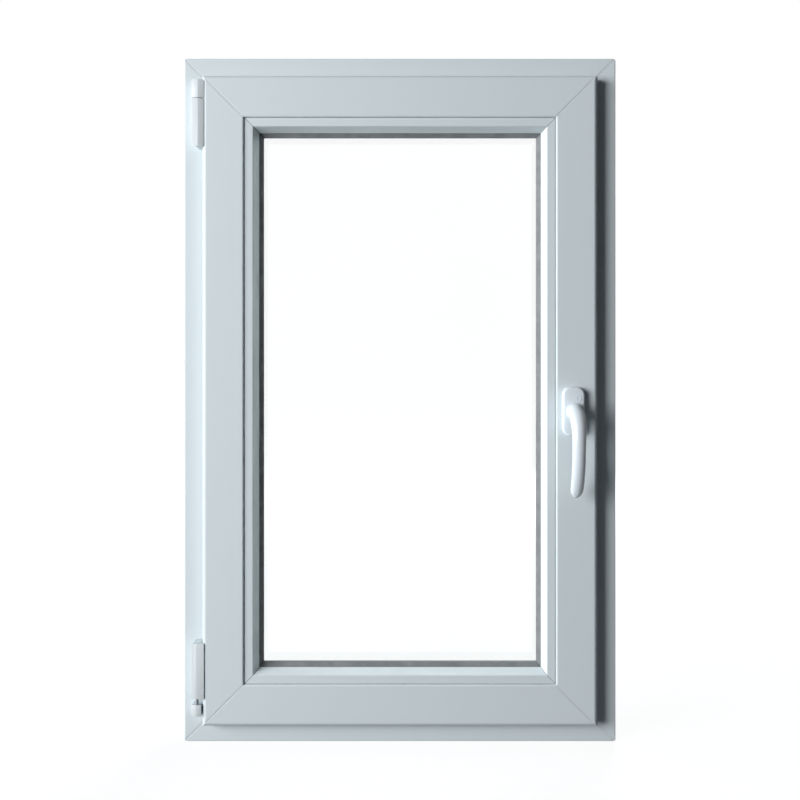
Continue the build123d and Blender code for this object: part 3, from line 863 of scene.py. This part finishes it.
# %% Rings of the lever
# How far along the line, and how wide and deep the lever is there, in millimetres
LEVER_SIZES = (
    (0, 24, 24),
    (0.1, 23.4, 23),
    (0.24, 21, 19),
    (0.4, 18.6, 16),
    (0.6, 18, 15),
    (0.8, 18, 14),
    (0.94, 17.4, 12.8),
    (0.97, 15.6, 11.4),
    (0.99, 11.6, 8.4),
    (1, 6, 4.2),
)
RING_POINTS = 16
SMOOTH_LEVELS = 2


def lever_size(along):
    """How wide and deep the lever is at a place along its line, in metres."""
    for (start, *sizes), (end, *ends) in zip(LEVER_SIZES, LEVER_SIZES[1:]):
        if along <= end + 1e-9:
            share = (along - start) / (end - start)
            return [(size + share * (after - size)) / 1000 for size, after in zip(sizes, ends)]


def add_ring(mesh, centre, direction, wide, deep):
    """A ring of edges square to a direction, widest along X."""
    side = Vector((1, 0, 0))
    front = direction.normalized().cross(side)
    turn = Matrix((side, front, direction.normalized())).transposed().to_4x4()
    shape = Matrix.Translation(centre) @ turn @ Matrix.Diagonal((wide, deep, 1, 1))
    made = bmesh.ops.create_circle(mesh, cap_ends=False, segments=RING_POINTS, radius=0.5, matrix=shape)
    return [edge for edge in mesh.edges if all(vertex in made["verts"] for vertex in edge.verts)]


def crease_neck(mesh, ring):
    """Keep the foot of the neck sharp under the Subdivision Surface modifier."""
    layer = mesh.edges.layers.float.new("crease_edge")
    for edge in mesh.edges:
        if edge in ring:
            edge[layer] = 1.0


def make_lever():
    """The lever, from rings along its line."""
    mesh = bmesh.new()
    reach = [0.0]
    for start, end in zip(lever_points, lever_points[1:]):
        reach.append(reach[-1] + (end - start).length)
    rings = []
    last = len(lever_points) - 1
    for index, centre in enumerate(lever_points):
        direction = lever_points[min(index + 1, last)] - lever_points[max(index - 1, 0)]
        wide, deep = lever_size(reach[index] / reach[-1])
        rings.append(add_ring(mesh, centre, direction, wide, deep))
    for first, second in zip(rings, rings[1:]):
        bmesh.ops.bridge_loops(mesh, edges=first + second)
    bmesh.ops.holes_fill(mesh, edges=rings[-1], sides=RING_POINTS)
    bmesh.ops.holes_fill(mesh, edges=rings[0], sides=RING_POINTS)
    crease_neck(mesh, rings[0])
    piece = make_piece(mesh, "handle_grip", powder_coat, "handle", 60, "handle_lever")
    smooth = piece.modifiers.new("smooth", "SUBSURF")
    smooth.levels = smooth.render_levels = SMOOTH_LEVELS


make_lever()

# %% [markdown]
# ## Hinge covers
#
# From the room a hinge is a low, gently arched cover: two shallow facets meet in a soft
# ridge, and the left one turns a little to the light. Its right edge lies almost level
# with the sash, so that it throws hardly any shadow. The outline seen from above is a
# few points. It becomes a face, is extruded upwards and has some corners rounded as seen
# from the room. Then its upright edges and its rims are bevelled. The ends and the sides
# come from the solid's own box, so a cover can't drift from its hinge. A cover of the
# sash is joined to it by a flat arm.

# %% Outline of a hinge cover
SASH_SIDE_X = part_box("sash_hinge_stile")[0].x
NECK_X = SASH_SIDE_X - 0.0008
LIP_Y = (-0.0544, -0.0522)
ARM_Y = (-0.048, -0.041)
ARM_OVERLAP = 0.001
COVER_FRONT_Y = -0.0568
UPRIGHT_ROUNDS = (0.0007, 0.0006, 0.0005)
RIM_ROUND = 0.0005


def hinge_outline(low, high, ridge_x, left_fall, right_fall):
    """The outline of a hinge cover seen from above, from its back left corner."""
    points = [(low.x, high.y), (low.x, COVER_FRONT_Y + left_fall), (ridge_x, COVER_FRONT_Y)]
    points.append((high.x, COVER_FRONT_Y + right_fall))
    if high.x > SASH_SIDE_X:
        points += [(high.x, LIP_Y[0]), (NECK_X, LIP_Y[1])]
    return points + [(min(NECK_X, high.x), high.y)]


# %% [markdown]
# The top hinge has two covers, one on the frame and one on the sash, and the bottom
# hinge has a tall cover over a small block. Each is the outline above, made solid.

# %% Hinge covers
# Where the ridge of a cover is, and how far its front falls back at the left and the right
TOP_FRONT = (-0.2768, 0.0010, 0.0017)
BOTTOM_FRONT = (-0.2790, 0.0008, 0.0006)
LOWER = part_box("top_hinge_bearing")
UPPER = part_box("top_hinge_band")
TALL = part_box("bottom_hinge_band")
# Corners that are round as seen from the room: x, z and radius
LOWER_ROUNDS = [(LOWER[0].x, LOWER[0].z, 0.007)]
UPPER_ROUNDS = [(UPPER[1].x, UPPER[1].z, 0.004)]
TALL_ROUNDS = [(corner.x, TALL[1].z, 0.002) for corner in TALL]


def make_hinge_cover(name, solid, front, rounds=(), arm=False):
    """A hinge cover with a ridged front, round corners and, on the sash, an arm."""
    low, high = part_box(solid)
    outline = hinge_outline(low, high, *front)
    mesh = bmesh.new()
    base = mesh.faces.new([mesh.verts.new((x, y, low.z)) for x, y in outline])
    top = bmesh.ops.extrude_face_region(mesh, geom=[base])["geom"]
    raised = [item for item in top if isinstance(item, bmesh.types.BMVert)]
    bmesh.ops.translate(mesh, vec=(0, 0, high.z - low.z), verts=raised)
    for x, z, radius in rounds:
        corner = edges_where(mesh, lambda co: near(co.x, x) and near(co.z, z))
        round_edges(mesh, corner, radius, segments=8)
    for (x, y), width in zip(outline[1:4], UPRIGHT_ROUNDS):
        upright = edges_where(mesh, lambda co: near(co.x, x) and near(co.y, y))
        round_edges(mesh, upright, width, segments=4)
    for z in (low.z, high.z):
        round_edges(mesh, edges_where(mesh, lambda co: near(co.z, z)), RIM_ROUND, segments=2)
    if arm:
        back = Vector((NECK_X - ARM_OVERLAP, ARM_Y[0], low.z))
        add_block(mesh, back, Vector((SASH_SIDE_X, ARM_Y[1], high.z)))
    make_piece(mesh, name, moulded_white, "window", 35, solid)


make_hinge_cover("top_hinge_lower", "top_hinge_bearing", TOP_FRONT, LOWER_ROUNDS)
make_hinge_cover("top_hinge_upper", "top_hinge_band", TOP_FRONT, UPPER_ROUNDS, arm=True)
make_hinge_cover("bottom_hinge_cover", "bottom_hinge_band", BOTTOM_FRONT, TALL_ROUNDS, arm=True)
make_hinge_cover("bottom_hinge_block", "bottom_hinge_bearing", BOTTOM_FRONT)

# %% [markdown]
# The pins turn inside the covers and show only in the gaps between them, and their dark
# steel is painted shade for those gaps. Each is a slim steel bar whose ends are chamfered
# so that it slides in. A cylinder with its two rims bevelled is the whole shape.

# %% Hinge pins
PIN_RADIUS = 0.0015
PIN_CHAMFER = 0.0005


def make_pin(name, solid):
    """A hinge pin with chamfered ends."""
    low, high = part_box(solid)
    upright = Matrix.Translation((low + high) / 2)
    mesh = bmesh.new()
    bmesh.ops.create_cone(
        mesh, cap_ends=True, segments=32, radius1=PIN_RADIUS, radius2=PIN_RADIUS,
        depth=high.z - low.z, matrix=upright,
    )
    for z in (low.z, high.z):
        round_edges(mesh, edges_where(mesh, lambda co: near(co.z, z)), PIN_CHAMFER, segments=1)
    make_piece(mesh, name, pin_steel_painted_shade, "window", 35, solid)


make_pin("top_pin", "top_hinge_pin")
make_pin("bottom_pin", "bottom_hinge_pin")

# %% [markdown]
# ## Drain hoods
#
# On the outside, water that gets into the frame runs out through slots in the sill. A
# small hood covers each slot, open underneath. A box has its outer top edge rounded
# widely and its other outer edges slightly. Then its underside is inset and pushed up,
# which hollows it out.

# %% Drain hoods
HOOD_ROUND = 0.003
HOOD_EDGE = 0.0006
HOOD_WALL = 0.0012
HOOD_HOLLOW = 0.6
HOOD_CORNER = radians(40)


def make_hood(name, solid):
    """A hood over a drain slot."""
    low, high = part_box(solid)
    mesh = block(low, high)
    outer_top = edges_where(mesh, lambda co: near(co.y, high.y) and near(co.z, high.z))
    round_edges(mesh, outer_top, HOOD_ROUND, segments=6)
    kept = edges_where(mesh, lambda co: near(co.z, low.z)) + edges_where(mesh, lambda co: near(co.y, low.y))
    sharp = [edge for edge in mesh.edges if edge not in kept and edge.calc_face_angle() > HOOD_CORNER]
    round_edges(mesh, sharp, HOOD_EDGE, segments=3)
    under = next(face for face in mesh.faces if all(near(v.co.z, low.z) for v in face.verts))
    push(mesh, under, Vector((0, 0, (high.z - low.z) * HOOD_HOLLOW)), HOOD_WALL)
    make_piece(mesh, name, moulded_white, "window", 35, solid)


make_hood("drain_hood_left", "drain_cap_left")
make_hood("drain_hood_right", "drain_cap_right")
